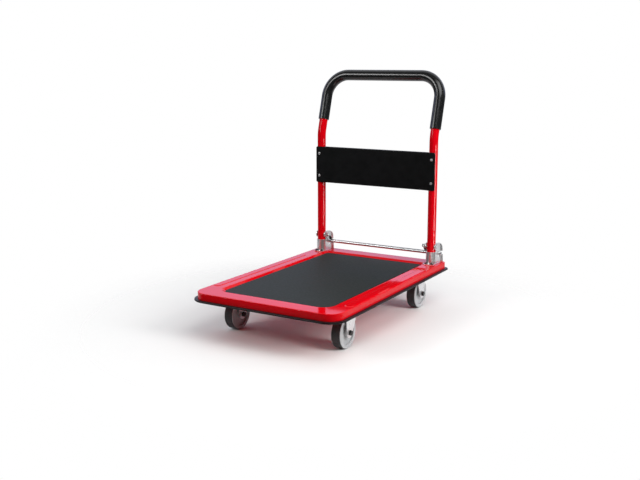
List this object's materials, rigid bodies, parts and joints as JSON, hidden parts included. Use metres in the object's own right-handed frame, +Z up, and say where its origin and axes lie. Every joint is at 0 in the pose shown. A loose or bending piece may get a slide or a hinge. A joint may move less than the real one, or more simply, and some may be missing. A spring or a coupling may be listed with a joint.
{
  "type": "folding platform truck",
  "caption": "Folding platform truck: pressed deck with mat and rubber edge, rigid and swivel casters, and a tube handle that folds down over the deck once a sprung foot rod is pressed.",
  "frame": {"origin": "on the floor, under the middle of the truck's bounding box", "axes": "+X to the truck's right, +Y from the front edge towards the handle, +Z up"},
  "size_m": [0.482, 0.742, 0.7317],
  "materials": {
    "red_paint": "gloss",
    "black_paint": "satin",
    "mat_rubber": "matte",
    "edge_rubber": "satin",
    "grip_rubber": "satin",
    "zinc_plate": "polished",
    "dark_steel": "satin",
    "bright_steel": "polished",
    "bush_plastic": "matte",
    "wheel_plastic": "satin",
    "tread_rubber": "matte"
  },
  "bodies": {
    "deck": {"deck_pan": "red_paint", "deck_mat": "mat_rubber", "edge_bumper": "edge_rubber", "front_bearer": "black_paint", "rear_bearer": "black_paint", "centre_spine": "black_paint", "hinge_bracket_left": "zinc_plate", "hinge_bracket_right": "zinc_plate", "bracket_screws": "dark_steel", "bracket_nuts": "zinc_plate", "pivot_bolt_left": "zinc_plate", "pivot_bolt_right": "zinc_plate", "pivot_nuts": "zinc_plate", "rod_spring_left": "dark_steel", "rod_spring_right": "dark_steel", "rigid_fork_left": "zinc_plate", "rigid_fork_right": "zinc_plate", "swivel_plate_left": "zinc_plate", "swivel_plate_right": "zinc_plate", "kingpin_left": "zinc_plate", "kingpin_right": "zinc_plate", "caster_bolts": "zinc_plate", "caster_nuts": "zinc_plate", "axle_sleeve_front_left": "bright_steel", "axle_bolt_front_left": "dark_steel", "axle_nut_front_left": "dark_steel", "axle_sleeve_front_right": "bright_steel", "axle_bolt_front_right": "dark_steel", "axle_nut_front_right": "dark_steel"},
    "handle": {"handle_tube": "red_paint", "handle_grip": "grip_rubber", "back_panel": "black_paint", "panel_screws": "zinc_plate", "pivot_bush_left": "bush_plastic", "pivot_bush_right": "bush_plastic"},
    "lock_rod": {"lock_rod": "bright_steel", "rod_clips": "zinc_plate"},
    "swivel_left": {"swivel_fork_left": "zinc_plate", "swivel_balls_left": "bright_steel", "axle_sleeve_rear_left": "bright_steel", "axle_bolt_rear_left": "dark_steel", "axle_nut_rear_left": "dark_steel"},
    "swivel_right": {"swivel_fork_right": "zinc_plate", "swivel_balls_right": "bright_steel", "axle_sleeve_rear_right": "bright_steel", "axle_bolt_rear_right": "dark_steel", "axle_nut_rear_right": "dark_steel"},
    "wheel_front_left": {"wheel_core_front_left": "wheel_plastic", "wheel_tread_front_left": "tread_rubber"},
    "wheel_front_right": {"wheel_core_front_right": "wheel_plastic", "wheel_tread_front_right": "tread_rubber"},
    "wheel_rear_left": {"wheel_core_rear_left": "wheel_plastic", "wheel_tread_rear_left": "tread_rubber"},
    "wheel_rear_right": {"wheel_core_rear_right": "wheel_plastic", "wheel_tread_rear_right": "tread_rubber"}
  },
  "joints": [
    {"name": "handle_fold", "type": "hinge", "parent": "deck", "child": "handle", "pos_m": [0, 0.29855, 0.1876], "axis": [1, 0, 0], "range_deg": [0, 96]},
    {"name": "lock_rod_press", "type": "slide", "parent": "deck", "child": "lock_rod", "axis": [0, 0, -1], "range_m": [0, 0.0075], "stiffness_N_per_m": 1500, "springref_m": -0.004, "deforming": ["rod_spring_left", "rod_spring_right"]},
    {"name": "swivel_turn_left", "type": "hinge", "parent": "deck", "child": "swivel_left", "pos_m": [-0.176, 0.23455, 0], "axis": [0, 0, 1], "continuous": true},
    {"name": "swivel_turn_right", "type": "hinge", "parent": "deck", "child": "swivel_right", "pos_m": [0.176, 0.23455, 0], "axis": [0, 0, 1], "continuous": true},
    {"name": "wheel_roll_front_left", "type": "hinge", "parent": "deck", "child": "wheel_front_left", "pos_m": [-0.176, -0.22345, 0.045], "axis": [1, 0, 0], "continuous": true},
    {"name": "wheel_roll_front_right", "type": "hinge", "parent": "deck", "child": "wheel_front_right", "pos_m": [0.176, -0.22345, 0.045], "axis": [1, 0, 0], "continuous": true},
    {"name": "wheel_roll_rear_left", "type": "hinge", "parent": "swivel_left", "child": "wheel_rear_left", "pos_m": [-0.176, 0.24655, 0.045], "axis": [1, 0, 0], "continuous": true},
    {"name": "wheel_roll_rear_right", "type": "hinge", "parent": "swivel_right", "child": "wheel_rear_right", "pos_m": [0.176, 0.24655, 0.045], "axis": [1, 0, 0], "continuous": true}
  ]
}
